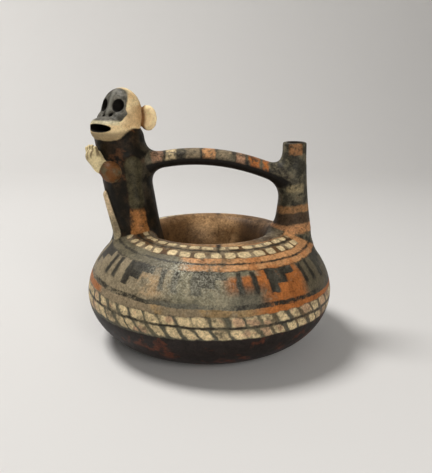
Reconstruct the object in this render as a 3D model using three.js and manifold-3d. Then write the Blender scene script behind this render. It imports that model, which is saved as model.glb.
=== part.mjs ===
// A ring-shaped fired clay vase: a hollow ring, a spout and a monkey standing on it, and a bridge between
// the two. Millimetres, +Z up. The origin is on the ring's axis, at the level that the vase stands on.
// The monkey is towards -X and the spout towards +X, so looking along +Y shows the vase from the side.
import * as THREE from "three";
import { mergeVertices } from "three/addons/utils/BufferGeometryUtils.js";
import Module from "manifold-3d";

// Ring: radii are from its axis, heights from the floor
const bellyRadius = 88;
const bellyHeight = 37;
const crestHeight = 80;
const holeRadius = 33;
const holeWaistHeight = 42;
const crestFromHole = 13;
const footFromHole = 11.5;
const footWidth = 6;
const wall = 5.5;
const shoulderPower = 1.85;
const undersidePower = 1.9;
const roundPower = 2;

// Spout: its lip and its foot are plain round sections, and it swells out where it meets the ring
const spoutFromCrest = 13.8;
const spoutHeight = 61.5;
const spoutLipRadius = 8.3;
const spoutFootRadius = 13.5;
const spoutTaper = 2;
const spoutFillet = 6;
const lipWall = 2.8;
const lipRounding = 1;

// Monkey: a hollow post with a head, leaning out as it rises
const monkeyFromCrest = 6.5;
const monkeyLean = 10.6;
const postHeight = 68;
const postRadius = 17.3;
const postFillet = 5;
const postShoulder = 8;
const postIntoHead = 6;
const postWall = 5.3;
const headRise = 13;
const headShift = 3.2;
const headTurnDeg = 40;
const skullHalfWidth = 14.8;
const skullHalfHeight = 17.5;
const skullFront = 11.6;
const skullBack = 10;
const faceSquareness = 2.8;
const muzzleReach = 24;
const muzzleDepth = 23;
const muzzleHalfWidth = 13.2;
const muzzleHalfHeight = 7.8;
const muzzleDrop = 8.9;
const muzzleSquareness = 4;
const cheekReach = 15;
const cheekHalfWidth = 13.8;
const cheekHalfHeight = 7;
const cheekDrop = 5.5;
const noseReach = 14;
const noseHalfWidth = 5.5;
const noseHalfHeight = 5;
const noseRise = 1;
const mouthHalfWidth = 10.2;
const mouthHeight = 5;
const mouthDrop = 8.4;
const eyeRadius = 4.1;
const eyeDepth = 5;
const eyeSpacing = 14;
const eyeRise = 5.9;
const nostrilRadius = 1.5;
const nostrilSpacing = 6.4;
const nostrilReach = 12.8;
const nostrilDrop = 0.9;
const earRadius = 8.6;
const earThickness = 4.2;
const earDish = 1.6;
const earSink = 4.6;
const earDrop = 2.4;
const limbRelief = 2.6;

// Bridge from the monkey's back to the spout
const bridgeWidth = 18;
const bridgeThickness = 11.6;
const bridgeRiseAtMonkey = 48;
const bridgeRiseInMiddle = 51.5;
const bridgeRiseAtSpout = 38;
const bridgeFlare = 4;

// How finely the round forms are faceted
const ringSides = 68;
const chamberSides = 36;
const postSides = 24;
const boreSides = 14;
const ringSteps = 5;
const chamberSteps = 3;

const crestRadius = holeRadius + crestFromHole;
const footRadius = holeRadius + footFromHole;
const spoutX = crestRadius + spoutFromCrest;
const monkeyX = -(crestRadius + monkeyFromCrest);
const radians = THREE.MathUtils.degToRad;

const wasm = await Module();
wasm.setup();

// A closed three.js geometry as a solid that can be joined and cut
function solidOf(geometry) {
  const bare = geometry.clone();
  bare.deleteAttribute("normal");
  bare.deleteAttribute("uv");
  const merged = mergeVertices(bare, 1e-4);
  return new wasm.Manifold(
    new wasm.Mesh({
      numProp: 3,
      vertProperties: new Float32Array(merged.attributes.position.array),
      triVerts: new Uint32Array(merged.index.array),
    }),
  );
}

// Moves every vertex of a geometry to where place(x, y, z) puts it
function reshape(geometry, place) {
  const positions = geometry.attributes.position;
  const moved = new THREE.Vector3();
  for (let i = 0; i < positions.count; i++) {
    moved.fromBufferAttribute(positions, i);
    moved.copy(place(moved));
    positions.setXYZ(i, moved.x, moved.y, moved.z);
  }
  return geometry;
}

// A quarter of a rounded outline about (r, z), from one angle to a quarter turn on, without its last point
function quarter(r, z, halfWidth, halfHeight, fromDeg, power, steps) {
  const points = [];
  for (let i = 0; i < steps; i++) {
    const angle = radians(fromDeg + (90 * i) / steps);
    const c = Math.cos(angle);
    const s = Math.sin(angle);
    points.push(
      new THREE.Vector2(
        r + halfWidth * Math.sign(c) * Math.abs(c) ** (2 / power),
        z + halfHeight * Math.sign(s) * Math.abs(s) ** (2 / power),
      ),
    );
  }
  return points;
}

// The ring's cross-section, drawn in by inset on every side
function ringSection(inset, steps) {
  const footOuter = footRadius + footWidth / 2;
  const footInner = footRadius - footWidth / 2;
  const crestDrop = crestHeight - bellyHeight;
  const waistRise = crestHeight - holeWaistHeight;
  const outsideFoot = bellyRadius - footOuter - inset;
  const outsideCrest = bellyRadius - crestRadius - inset;
  const insideCrest = crestFromHole - inset;
  const insideFoot = footInner - holeRadius - inset;
  const belowBelly = bellyHeight - inset;
  const belowWaist = holeWaistHeight - inset;
  return [
    ...quarter(footOuter, bellyHeight, outsideFoot, belowBelly, -90, undersidePower, steps),
    ...quarter(crestRadius, bellyHeight, outsideCrest, crestDrop - inset, 0, shoulderPower, steps),
    ...quarter(crestRadius, holeWaistHeight, insideCrest, waistRise - inset, 90, roundPower, steps),
    ...quarter(footInner, holeWaistHeight, insideFoot, belowWaist, 180, roundPower, steps),
    new THREE.Vector2(footInner, inset),
  ];
}

// Turns a closed section about the Z axis
function turned(section, sides) {
  const closed = [...section, section[0].clone()];
  return new THREE.LatheGeometry(closed, sides).rotateX(Math.PI / 2);
}

// Height of the ring's outer surface above the floor, over the point (x, y)
function ringTop(x, y) {
  const r = Math.hypot(x, y);
  if (r > crestRadius) {
    const out = Math.min((r - crestRadius) / (bellyRadius - crestRadius), 1);
    return bellyHeight + (crestHeight - bellyHeight) * (1 - out ** shoulderPower) ** (1 / shoulderPower);
  }
  const inward = Math.min((crestRadius - r) / crestFromHole, 1);
  return holeWaistHeight + (crestHeight - holeWaistHeight) * (1 - inward ** roundPower) ** (1 / roundPower);
}

// A post that stands on the ring. Its foot follows the ring's surface and rounds up into the shaft, whose
// axis and radius at each height come from axisAt(z) and radiusAt(z), and whose lip is rounded by rounding.
function standingPost({ axisAt, radiusAt, topHeight, fillet, rounding, sides }) {
  const filletRows = 3;
  const shaftRows = 6;
  const lipRows = 2;
  const rows = filletRows + shaftRows + lipRows;
  const sunk = 0.6;
  const rootDepth = 12;
  const blank = new THREE.CylinderGeometry(1, 1, 1, sides, rows);
  return reshape(blank, (v) => {
    const row = Math.round((v.y + 0.5) * rows);
    const atCentre = Math.hypot(v.x, v.z) < 0.5;
    if (atCentre && row === 0) {
      const root = axisAt(crestHeight);
      return root.setZ(ringTop(root.x, root.y) - rootDepth);
    }
    if (atCentre) return axisAt(topHeight);
    const out = new THREE.Vector3(v.z, v.x, 0).normalize();
    const climb = radians(90) * Math.min(row / filletRows, 1);
    const base = axisAt(crestHeight);
    const reach = radiusAt(crestHeight) + fillet * (1 - Math.sin(climb));
    const foot = base.clone().addScaledVector(out, reach);
    const filletTop = ringTop(foot.x, foot.y) + fillet * (1 - Math.cos(climb)) - sunk;
    if (row < filletRows) return foot.setZ(filletTop);
    const straightTop = topHeight - rounding;
    const share = Math.min((row - filletRows) / shaftRows, 1);
    const curl = radians(90) * Math.max(row - filletRows - shaftRows, 0) / lipRows;
    const z = filletTop + (straightTop - filletTop) * share + rounding * Math.sin(curl);
    const radius = radiusAt(z) - rounding * (1 - Math.cos(curl));
    return axisAt(z).addScaledVector(out, radius);
  });
}

// A rounded bar through points, each with its own half width and half height along its own axes
function roundedBar(stations, sides, rows, power = 2) {
  const curve = new THREE.CatmullRomCurve3(stations.map((s) => s.at));
  const sizes = new THREE.CatmullRomCurve3(stations.map((s) => new THREE.Vector3(s.across, s.up, 0)));
  const upward = new THREE.Vector3(0, 0, 1);
  const blank = new THREE.CylinderGeometry(1, 1, 1, sides, rows);
  return reshape(blank, (v) => {
    const t = v.y + 0.5;
    const along = curve.getTangent(t);
    const across = along.clone().cross(upward).normalize();
    const up = across.clone().cross(along).normalize();
    const size = sizes.getPoint(t);
    const round = (c) => Math.sign(c) * Math.abs(c) ** (2 / power);
    return curve
      .getPoint(t)
      .addScaledVector(across, round(v.x) * size.x)
      .addScaledVector(up, round(v.z) * size.y);
  });
}

// A ball stretched to half sizes along the three axes of a frame, and moved to its place
function stretchedBall(frame, at, half, around = 18, down = 12, power = 2, upPower = 2) {
  const ball = new THREE.SphereGeometry(1, around, down);
  return reshape(ball, (v) => {
    const level = Math.hypot(v.x, v.z);
    const squared = (Math.abs(v.x) ** power + Math.abs(v.z) ** power) ** (1 / power);
    const swell = (level ** upPower + Math.abs(v.y) ** upPower) ** (-1 / upPower);
    const spread = level < 1e-6 ? 1 : (swell * level) / squared;
    return at
      .clone()
      .addScaledVector(frame.forward, v.x * spread * (v.x > 0 ? half.front : half.back))
      .addScaledVector(frame.left, v.z * -spread * half.side)
      .addScaledVector(frame.up, v.y * swell * half.up);
  });
}

// A limb with rounded ends between two points, thick at the first and thin at the second
function limb(from, to, fromRadius, toRadius, sides = 10, rows = 2) {
  const axis = to.clone().sub(from);
  const length = axis.length();
  const blank = new THREE.CapsuleGeometry(1, 1, 3, sides, rows);
  const along = new THREE.Vector3(0, 1, 0);
  const turn = new THREE.Quaternion().setFromUnitVectors(along, axis.clone().normalize());
  return reshape(blank, (v) => {
    const share = THREE.MathUtils.clamp(v.y + 0.5, 0, 1);
    const radius = THREE.MathUtils.lerp(fromRadius, toRadius, share);
    const cap = v.y - (share - 0.5);
    return new THREE.Vector3(v.x * radius, share * length + cap * radius, v.z * radius)
      .applyQuaternion(turn)
      .add(from);
  });
}

// Where the monkey's post has its axis at each height
function monkeyAxis(z) {
  const share = (z - crestHeight) / postHeight;
  return new THREE.Vector3(monkeyX - monkeyLean * share, 0, z);
}

// A point on the monkey's post, at an angle from the side towards -Y, sunk below its surface
function onPost(angleDeg, rise, sunk) {
  const angle = radians(angleDeg - 90);
  const out = new THREE.Vector3(Math.cos(angle), Math.sin(angle), 0);
  return monkeyAxis(crestHeight + rise).addScaledVector(out, postRadius - sunk);
}

function ringBody() {
  return solidOf(turned(ringSection(0, ringSteps), ringSides));
}

function spoutAxis(z) {
  return new THREE.Vector3(spoutX, 0, z);
}

function spoutRadius(z, inset = 0) {
  const share = THREE.MathUtils.clamp((z - crestHeight) / spoutHeight, 0, 1);
  return spoutLipRadius + (spoutFootRadius - spoutLipRadius) * (1 - share) ** spoutTaper - inset;
}

function spout() {
  return solidOf(
    standingPost({
      axisAt: spoutAxis,
      radiusAt: spoutRadius,
      topHeight: crestHeight + spoutHeight,
      fillet: spoutFillet,
      rounding: lipRounding,
      sides: postSides,
    }),
  );
}

function monkeyPost() {
  return solidOf(
    standingPost({
      axisAt: monkeyAxis,
      radiusAt: () => postRadius,
      topHeight: crestHeight + postHeight + postIntoHead,
      fillet: postFillet,
      rounding: postShoulder,
      sides: postSides,
    }),
  );
}

function bridge() {
  const start = monkeyAxis(crestHeight + bridgeRiseAtMonkey);
  const gapStart = start.x + postRadius;
  const gapEnd = spoutX - spoutLipRadius;
  const point = (x, rise, flare) => ({
    at: new THREE.Vector3(x, 0, crestHeight + rise),
    across: bridgeWidth / 2,
    up: bridgeThickness / 2 + flare,
  });
  const archedRise = (share) => {
    const chord = THREE.MathUtils.lerp(bridgeRiseAtMonkey, bridgeRiseAtSpout, share);
    const middle = (bridgeRiseAtMonkey + bridgeRiseAtSpout) / 2;
    return chord + (bridgeRiseInMiddle - middle) * 4 * share * (1 - share);
  };
  const span = gapEnd - gapStart;
  const inner = [0.2, 0.4, 0.6, 0.8].map((share) => point(gapStart + span * share, archedRise(share), 0));
  return solidOf(
    roundedBar(
      [
        point(start.x, bridgeRiseAtMonkey - bridgeFlare, bridgeFlare),
        point(gapStart, bridgeRiseAtMonkey - bridgeFlare / 2, bridgeFlare / 2),
        ...inner,
        point(gapEnd, bridgeRiseAtSpout - 1, bridgeFlare),
        point(spoutX, bridgeRiseAtSpout - 1, bridgeFlare),
      ],
      14,
      14,
      2.3,
    ),
  );
}

// The head's own axes: forward is the way that the monkey looks
function headFrame() {
  const turn = radians(headTurnDeg);
  return {
    forward: new THREE.Vector3(-Math.sin(turn), -Math.cos(turn), 0),
    left: new THREE.Vector3(Math.cos(turn), -Math.sin(turn), 0),
    up: new THREE.Vector3(0, 0, 1),
  };
}

// A point in the head, forward, left and up of its middle
function inHead(forward, left, up) {
  const frame = headFrame();
  return monkeyAxis(crestHeight + postHeight)
    .add(new THREE.Vector3(headShift, 0, 0))
    .addScaledVector(frame.up, headRise)
    .addScaledVector(frame.forward, forward)
    .addScaledVector(frame.left, left)
    .addScaledVector(frame.up, up);
}

function head() {
  const frame = headFrame();
  const skull = stretchedBall(
    frame,
    inHead(0, 0, 0),
    { front: skullFront, back: skullBack, side: skullHalfWidth, up: skullHalfHeight },
    20,
    12,
    faceSquareness,
  );
  const muzzle = stretchedBall(
    frame,
    inHead(muzzleReach - muzzleDepth / 2, 0, -muzzleDrop),
    { front: muzzleDepth / 2, back: muzzleDepth / 2, side: muzzleHalfWidth, up: muzzleHalfHeight },
    20,
    10,
    faceSquareness,
    muzzleSquareness,
  );
  const cheeks = stretchedBall(
    frame,
    inHead(cheekReach / 2, 0, -cheekDrop),
    { front: cheekReach / 2, back: cheekReach / 2, side: cheekHalfWidth, up: cheekHalfHeight },
    18,
    8,
  );
  const nose = stretchedBall(
    frame,
    inHead(noseReach / 2, 0, noseRise),
    { front: noseReach / 2, back: noseReach / 2, side: noseHalfWidth, up: noseHalfHeight },
    12,
    8,
  );
  return [muzzle, cheeks, nose].reduce((joined, piece) => joined.add(solidOf(piece)), solidOf(skull));
}

// One ear: a thick disc that faces the way the monkey looks, with a dished front
function ear(side) {
  const frame = headFrame();
  const at = inHead(-skullBack * 0.6, side * (skullHalfWidth + earRadius - earSink), -earDrop);
  const disc = stretchedBall(
    frame,
    at,
    { front: earThickness / 2, back: earThickness / 2, side: earRadius, up: earRadius },
    16,
    6,
  );
  const dish = stretchedBall(
    frame,
    at.clone().addScaledVector(frame.forward, earThickness / 2),
    { front: earDish, back: earDish, side: earRadius * 0.6, up: earRadius * 0.65 },
    12,
    6,
  );
  return solidOf(disc).subtract(solidOf(dish));
}

// The raised arm: elbow on the chest, forearm outwards, and a hand with four fingers under the chin
function raisedArm() {
  const elbow = onPost(-24, 43, -0.6);
  const wrist = onPost(-44, 46.8, -3.2);
  const palm = onPost(-49, 53.6, -5.8);
  const reach = new THREE.Vector3(-0.2, -0.1, 1).normalize();
  const knob = solidOf(limb(elbow, elbow.clone().add(new THREE.Vector3(0, 0, 0.5)), 7.2, 7.2));
  const forearm = solidOf(limb(elbow, wrist, 4.4, 4.6)).add(solidOf(limb(wrist, palm, 4.6, 5.3)));
  const across = reach.clone().cross(headFrame().forward).normalize();
  const fingers = [-1.5, -0.5, 0.5, 1.5].map((place) => {
    const root = palm.clone().addScaledVector(across, place * 2.9);
    const tip = root.clone().addScaledVector(reach, 7.2 - Math.abs(place));
    return solidOf(limb(root, tip, 1.75, 1.35, 7, 1));
  });
  return fingers.reduce((arm, finger) => arm.add(finger), forearm.add(knob));
}

// A limb that lies on the post, from one angle and height to another, standing out by limbRelief
function reliefLimb(fromDeg, fromRise, toDeg, toRise, fromRadius, toRadius) {
  return solidOf(
    limb(
      onPost(fromDeg, fromRise, fromRadius - limbRelief),
      onPost(toDeg, toRise, toRadius - limbRelief),
      fromRadius,
      toRadius,
    ),
  );
}

function limbs() {
  const hangingArm = reliefLimb(27, 48, 21, 22, 6.8, 6.2);
  const leftLeg = reliefLimb(20, 22, 15, 2, 6, 7);
  const rightLeg = reliefLimb(-60, 26, -44, 0, 3, 4.8);
  return hangingArm.add(leftLeg).add(rightLeg).add(raisedArm());
}

function chamber() {
  return solidOf(turned(ringSection(wall, chamberSteps), chamberSides));
}

// A round passage up through a post, from inside the ring's chamber
function passage(axisAt, radiusAt, topHeight) {
  const bottom = crestHeight - 2 * wall;
  const blank = new THREE.CylinderGeometry(1, 1, 1, boreSides, 5);
  return solidOf(
    reshape(blank, (v) => {
      const z = bottom + (topHeight - bottom) * (v.y + 0.5);
      return axisAt(z).add(new THREE.Vector3(v.z, v.x, 0).multiplyScalar(radiusAt(z)));
    }),
  );
}

function spoutBore() {
  const pastLip = crestHeight + spoutHeight + 1;
  return passage(spoutAxis, (z) => spoutRadius(z, lipWall), pastLip);
}

// The hollow in the monkey: up the post and into the head
function monkeyHollow() {
  const frame = headFrame();
  const boreTop = crestHeight + postHeight + postIntoHead / 2;
  const bore = passage(monkeyAxis, () => postRadius - postWall, boreTop);
  const skull = stretchedBall(
    frame,
    inHead(0, 0, 0),
    {
      front: skullFront - postWall,
      back: skullBack - postWall,
      side: skullHalfWidth - postWall,
      up: skullHalfHeight - postWall,
    },
    12,
    8,
  );
  return bore.add(solidOf(skull));
}

// The mouth: a slot from the front of the muzzle back into the head's hollow
function mouth() {
  const frame = headFrame();
  const slot = stretchedBall(
    frame,
    inHead(muzzleReach, 0, -mouthDrop),
    { front: muzzleReach, back: muzzleReach, side: mouthHalfWidth, up: mouthHeight / 2 },
    18,
    6,
  );
  return solidOf(slot);
}

function pit(forward, left, up, radius, depth) {
  const frame = headFrame();
  const half = { front: depth, back: depth, side: radius, up: radius };
  return solidOf(stretchedBall(frame, inHead(forward, left, up), half, 10, 6));
}

function faceHoles() {
  const faceFront = skullFront * 0.85;
  const holes = [-1, 1].flatMap((side) => [
    pit(faceFront, (side * eyeSpacing) / 2, eyeRise, eyeRadius, eyeDepth),
    pit(nostrilReach, (side * nostrilSpacing) / 2, -nostrilDrop, nostrilRadius, 2.6),
  ]);
  return holes.reduce((all, hole) => all.add(hole));
}

function vase() {
  const outside = ringBody()
    .add(spout())
    .add(monkeyPost())
    .add(bridge())
    .add(head())
    .add(ear(1))
    .add(ear(-1))
    .add(limbs());
  const inside = chamber().add(spoutBore()).add(monkeyHollow()).add(mouth());
  return outside.subtract(inside).subtract(faceHoles());
}

// A named mesh with its material, made from a finished solid
function mesh(name, solid, material) {
  const made = solid.getMesh();
  const geometry = new THREE.BufferGeometry();
  geometry.setAttribute("position", new THREE.BufferAttribute(made.vertProperties, 3));
  geometry.setIndex(new THREE.BufferAttribute(made.triVerts, 1));
  geometry.computeVertexNormals();
  const result = new THREE.Mesh(geometry, material);
  result.name = name;
  return result;
}

const firedClay = new THREE.MeshStandardMaterial({ color: 0x8a5a35, roughness: 0.6, metalness: 0 });

const part = new THREE.Group();
part.add(mesh("vase", vase(), firedClay));

export default part;
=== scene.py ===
import math

import bpy
import numpy as np
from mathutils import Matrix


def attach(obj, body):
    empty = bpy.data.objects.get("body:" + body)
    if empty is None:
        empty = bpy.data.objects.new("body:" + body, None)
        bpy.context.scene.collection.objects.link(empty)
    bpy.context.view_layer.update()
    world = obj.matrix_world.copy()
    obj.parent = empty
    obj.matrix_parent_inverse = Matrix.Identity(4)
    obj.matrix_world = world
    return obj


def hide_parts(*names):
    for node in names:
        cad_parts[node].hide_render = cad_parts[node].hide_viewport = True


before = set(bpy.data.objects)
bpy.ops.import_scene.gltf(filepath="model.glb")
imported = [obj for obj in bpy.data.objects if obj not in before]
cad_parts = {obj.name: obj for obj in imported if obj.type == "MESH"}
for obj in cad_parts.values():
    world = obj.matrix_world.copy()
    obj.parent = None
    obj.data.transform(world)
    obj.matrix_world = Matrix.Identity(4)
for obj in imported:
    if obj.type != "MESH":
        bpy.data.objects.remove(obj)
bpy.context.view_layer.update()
mm = 0.001

# Camera, light and floor as in the photograph: the camera in millimetres, the lights and floor in metres

view = {
    "height": 184, "distance": 422, "aside": 4.8, "pitchDeg": 14.7,
    "filmWidth": 36, "focalPixels": 600, "longSidePixels": 473,
}
lights = {
    "keyLight": {
        "place": (-0.60, 0.20, 1.30), "aim": (0, 0, 0.06), "size": 0.5, "power": 16.5, "colour": (1, 0.99, 0.975)},
    "frontLight": {
        "place": (0.35, -0.95, 0.50), "aim": (0, 0, 0.09), "size": 0.6, "power": 4.6, "colour": (1, 0.985, 0.965)},
    "backdropLight": {
        "place": (-0.95, 0.75, 0.55), "aim": (-0.5, 1.25, 0.38), "size": 0.3, "power": 1.3, "colour": (1, 0.99, 0.975)},
}
room = {"colour": (0.80, 0.78, 0.75), "strength": 0.17}
floorForm = {"front": -1.2, "back": 0.75, "side": 2.2, "curve": 0.5, "rise": 1.6, "curveSteps": 12}
paper = {"colour": (0.74, 0.725, 0.705), "roughness": 0.8}


def addCamera():
    camera = bpy.data.objects.new("camera", bpy.data.cameras.new("camera"))
    camera.location = (view["aside"] * mm, -view["distance"] * mm, view["height"] * mm)
    camera.rotation_euler = (math.radians(90 - view["pitchDeg"]), 0, 0)
    camera.data.sensor_width = view["filmWidth"]
    camera.data.lens = view["focalPixels"] * view["filmWidth"] / view["longSidePixels"]
    camera.data.clip_start = 0.01
    bpy.context.scene.collection.objects.link(camera)
    bpy.context.scene.camera = camera


def addAreaLight(name, place, aim, size, power, colour):
    light = bpy.data.lights.new(name, "AREA")
    light.shape = "DISK"
    light.size = size
    light.energy = power
    light.color = colour
    holder = bpy.data.objects.new(name, light)
    holder.location = place
    x, y, z = np.array(place) - np.array(aim)
    holder.rotation_euler = (math.atan2(math.hypot(x, y), z), 0, math.atan2(y, x) + math.pi / 2)
    bpy.context.scene.collection.objects.link(holder)


def lightRoom():
    world = bpy.data.worlds.new("room")
    world.use_nodes = True
    world.node_tree.nodes["Background"].inputs["Color"].default_value = (*room["colour"], 1)
    world.node_tree.nodes["Background"].inputs["Strength"].default_value = room["strength"]
    bpy.context.scene.world = world
    bpy.context.scene.view_settings.view_transform = "Standard"  # keeps the paint's full strength


def buildFloor(form):  # a sheet of paper that curves up behind the vase
    profile = [(form["front"], 0.0), (form["back"], 0.0)]
    for step in range(1, form["curveSteps"] + 1):
        turn = math.radians(90 * step / form["curveSteps"])
        profile.append((form["back"] + form["curve"] * math.sin(turn), form["curve"] * (1 - math.cos(turn))))
    profile.append((form["back"] + form["curve"], form["rise"]))
    verts = [(side, y, z) for y, z in profile for side in (-form["side"], form["side"])]
    faces = [(2 * i, 2 * i + 1, 2 * i + 3, 2 * i + 2) for i in range(len(profile) - 1)]
    mesh = bpy.data.meshes.new("floor")
    mesh.from_pydata(verts, [], faces)
    for polygon in mesh.polygons:
        polygon.use_smooth = True
    floor = bpy.data.objects.new("floor", mesh)
    bpy.context.scene.collection.objects.link(floor)
    material = bpy.data.materials.new("palePaper")
    material.use_nodes = True
    shader = material.node_tree.nodes["Principled BSDF"]
    shader.inputs["Base Color"].default_value = (*paper["colour"], 1)
    shader.inputs["Roughness"].default_value = paper["roughness"]
    mesh.materials.append(material)


addCamera()
for lightName, light in lights.items():
    addAreaLight(lightName, **light)
lightRoom()
buildFloor(floorForm)
print("camera, light and floor are set")

# Ways to join and measure forms: each distance is in millimetres and is negative inside its form


def unionOf(a, b, blend):
    share = np.clip(0.5 + 0.5 * (b - a) / blend, 0, 1)
    return b + (a - b) * share - blend * share * (1 - share)


def cutFrom(a, b, blend):
    return -unionOf(-a, b, blend)


def ovalDistance(u, v, halfU, halfV, power):
    su = np.abs(u) / halfU
    sv = np.abs(v) / halfV
    level = (su**power + sv**power) ** (1 / power) + 1e-9
    slopeU = (su / level) ** (power - 1) / halfU
    slopeV = (sv / level) ** (power - 1) / halfV
    return (level - 1) / np.sqrt(slopeU**2 + slopeV**2 + 1e-12)


def ballDistance(along, across, up, halfAlong, halfAcross, halfUp):
    a, b, c = along / halfAlong, across / halfAcross, up / halfUp
    level = np.sqrt(a**2 + b**2 + c**2) + 1e-9
    slope = np.sqrt((a / halfAlong) ** 2 + (b / halfAcross) ** 2 + (c / halfUp) ** 2) + 1e-9
    return level * (level - 1) / slope


def squareBallDistance(along, across, up, halfAlong, halfAcross, halfUp, power, upPower=2.0):
    a, b, c = np.abs(along) / halfAlong, np.abs(across) / halfAcross, np.abs(up) / halfUp
    flat = (a**power + b**power) ** (1 / power) + 1e-9
    level = (flat**upPower + c**upPower) ** (1 / upPower) + 1e-9
    flatShare = (flat / level) ** (upPower - 1)
    slopeAlong = flatShare * (a / flat) ** (power - 1) / halfAlong
    slopeAcross = flatShare * (b / flat) ** (power - 1) / halfAcross
    slopeUp = (c / level) ** (upPower - 1) / halfUp
    return (level - 1) / np.sqrt(slopeAlong**2 + slopeAcross**2 + slopeUp**2 + 1e-9)


def limbDistance(p, start, end, startRadius, endRadius):
    start, end = np.array(start, float), np.array(end, float)
    axis = end - start
    share = np.clip((p - start) @ axis / (axis @ axis), 0, 1)
    nearest = start + share[:, None] * axis
    return np.linalg.norm(p - nearest, axis=1) - (startRadius + (endRadius - startRadius) * share)


# The ring, and the two posts that stand on it

ringForm = {
    "belly": 88.0, "bellyHeight": 37.0, "crest": 46.0, "crestHeight": 80.0, "crestFromHole": 13.0,
    "waistHeight": 42.0, "footInner": 41.5, "footOuter": 47.5,
    "shoulderPower": 1.85, "undersidePower": 1.9, "holePower": 2.0, "wall": 5.5,
}
spoutForm = {
    "x": 59.8, "top": 141.5, "lip": 8.3, "swell": 5.2, "taper": 2.0, "lipWall": 2.8, "lipRound": 1.6,
    "boreFoot": 69.0, "blend": 9.0,
}
postForm = {
    "x": -52.5, "lean": 10.6, "leanHeight": 68.0, "radius": 17.3, "top": 154.0, "shoulder": 9.0, "wall": 5.3,
    "boreFoot": 69.0, "boreTop": 151.0, "blend": 8.0,
}
rootForm = {"height": 70.0, "taper": 0.35}  # below this height a post narrows and ends inside the clay
sideSlope = 0.99  # the side of a leaning or tapering post is a little nearer than its level distance


def ringDistance(p, inset=0.0):
    f = ringForm
    r = np.hypot(p[:, 0], p[:, 1])
    z = p[:, 2]
    outer = r > f["crest"]
    split = np.where(outer, f["bellyHeight"], f["waistHeight"])
    upper = z > split
    lowU = np.where(outer, np.maximum(r - f["footOuter"], 0), np.minimum(r - f["footInner"], 0))
    u = np.where(upper, r - f["crest"], lowU)
    highHalf = np.where(outer, f["belly"] - f["crest"], f["crestFromHole"])
    lowHalf = np.where(outer, f["belly"] - f["footOuter"], f["footInner"] - f["crest"] + f["crestFromHole"])
    halfU = np.where(upper, highHalf, lowHalf)
    halfV = np.where(upper, f["crestHeight"] - split, split)
    power = np.where(outer, np.where(upper, f["shoulderPower"], f["undersidePower"]), f["holePower"])
    return ovalDistance(u, z - split, halfU - inset, halfV - inset, power)


def narrowing(z):
    return rootForm["taper"] * np.maximum(rootForm["height"] - z, 0)


def postX(z):
    return postForm["x"] - postForm["lean"] * (z - ringForm["crestHeight"]) / postForm["leanHeight"]


def postDistance(p):
    f = postForm
    side = np.hypot(p[:, 0] - postX(p[:, 2]), p[:, 1]) - f["radius"] + narrowing(p[:, 2])
    return cutFrom(side * sideSlope, f["top"] - p[:, 2], f["shoulder"])


def spoutSide(p, wall=0.0):
    f = spoutForm
    share = np.clip((p[:, 2] - ringForm["crestHeight"]) / (f["top"] - ringForm["crestHeight"]), 0, 1)
    return np.hypot(p[:, 0] - f["x"], p[:, 1]) - (f["lip"] - wall + f["swell"] * (1 - share) ** f["taper"])


def spoutDistance(p):
    side = spoutSide(p) + narrowing(p[:, 2])
    return cutFrom(side * sideSlope, spoutForm["top"] - p[:, 2], spoutForm["lipRound"])


# The bridge from the monkey's back to the spout

bridgeForm = {
    "atMonkey": 127.4, "middle": 130.8, "atSpout": 117.4, "leavesPost": 128.0,
    "halfWidth": 9.0, "halfThickness": 5.8, "squareness": 2.3, "blend": 11.0,
}


def bridgeDistance(p):
    f = bridgeForm
    first = postX(f["leavesPost"]) + postForm["radius"]
    last = spoutForm["x"] - spoutForm["lip"]
    share = (p[:, 0] - first) / (last - first)
    fall = f["atSpout"] - f["atMonkey"]
    arch = (f["middle"] - (f["atMonkey"] + f["atSpout"]) / 2) * 4
    height = f["atMonkey"] + fall * share + arch * share * (1 - share)
    slope = (fall + arch * (1 - 2 * share)) / (last - first)
    rise = (p[:, 2] - height) / np.sqrt(1 + slope**2)
    section = ovalDistance(p[:, 1], rise, f["halfWidth"], f["halfThickness"], f["squareness"])
    return np.maximum(section, np.maximum(postX(f["leavesPost"]) - p[:, 0], p[:, 0] - spoutForm["x"]))


# The monkey's head, measured from the middle of its skull: forward, to its left, and up

headForm = {
    "rise": 161.0, "postHeight": 148.0, "shift": 3.2, "turnDeg": 40.0,
    "front": 11.6, "back": 10.0, "side": 14.8, "up": 17.5, "squareness": 2.8,
    "muzzleReach": 22.6, "muzzleDepth": 22.0, "muzzleDrop": 9.5, "muzzleSide": 13.2, "muzzleUp": 7.8,
    "muzzleTopSquareness": 3.0, "muzzleBlend": 4.0,
    "cheekReach": 13.5, "cheekDrop": 3.2, "cheekSide": 13.9, "cheekUp": 5.4,
    "cheekSquareness": 3.6, "cheekTopSquareness": 2.5, "cheekBlend": 3.0,
    "noseReach": 12.9, "noseSide": 5.5, "noseDrop": -0.6, "noseUp": 4.4, "noseBlend": 2.5,
}
earForm = {
    "radius": 8.6, "thickness": 4.2, "sink": 4.6, "drop": 2.4, "back": 6.0,
    "dishDepth": 1.6, "dishWide": 0.6, "dishHigh": 0.65, "rim": 1.0,
}
faceForm = {
    "eyeRadius": 4.1, "eyeSide": 7.0, "eyeRise": 5.9, "eyeDepth": 5.0, "eyeReach": 9.86,
    "nostrilRadius": 1.5, "nostrilHigh": 1.875, "nostrilDepth": 2.6,
    "nostrilSide": 3.2, "nostrilReach": 11.4, "nostrilDrop": 1.2,
    "mouthSide": 10.2, "mouthHeight": 4.7, "mouthDrop": 8.6, "mouthSquareness": 2.1, "mouthBack": 8.0,
}


def headMiddle():
    return np.array([postX(headForm["postHeight"]) + headForm["shift"], 0, headForm["rise"]])


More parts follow.
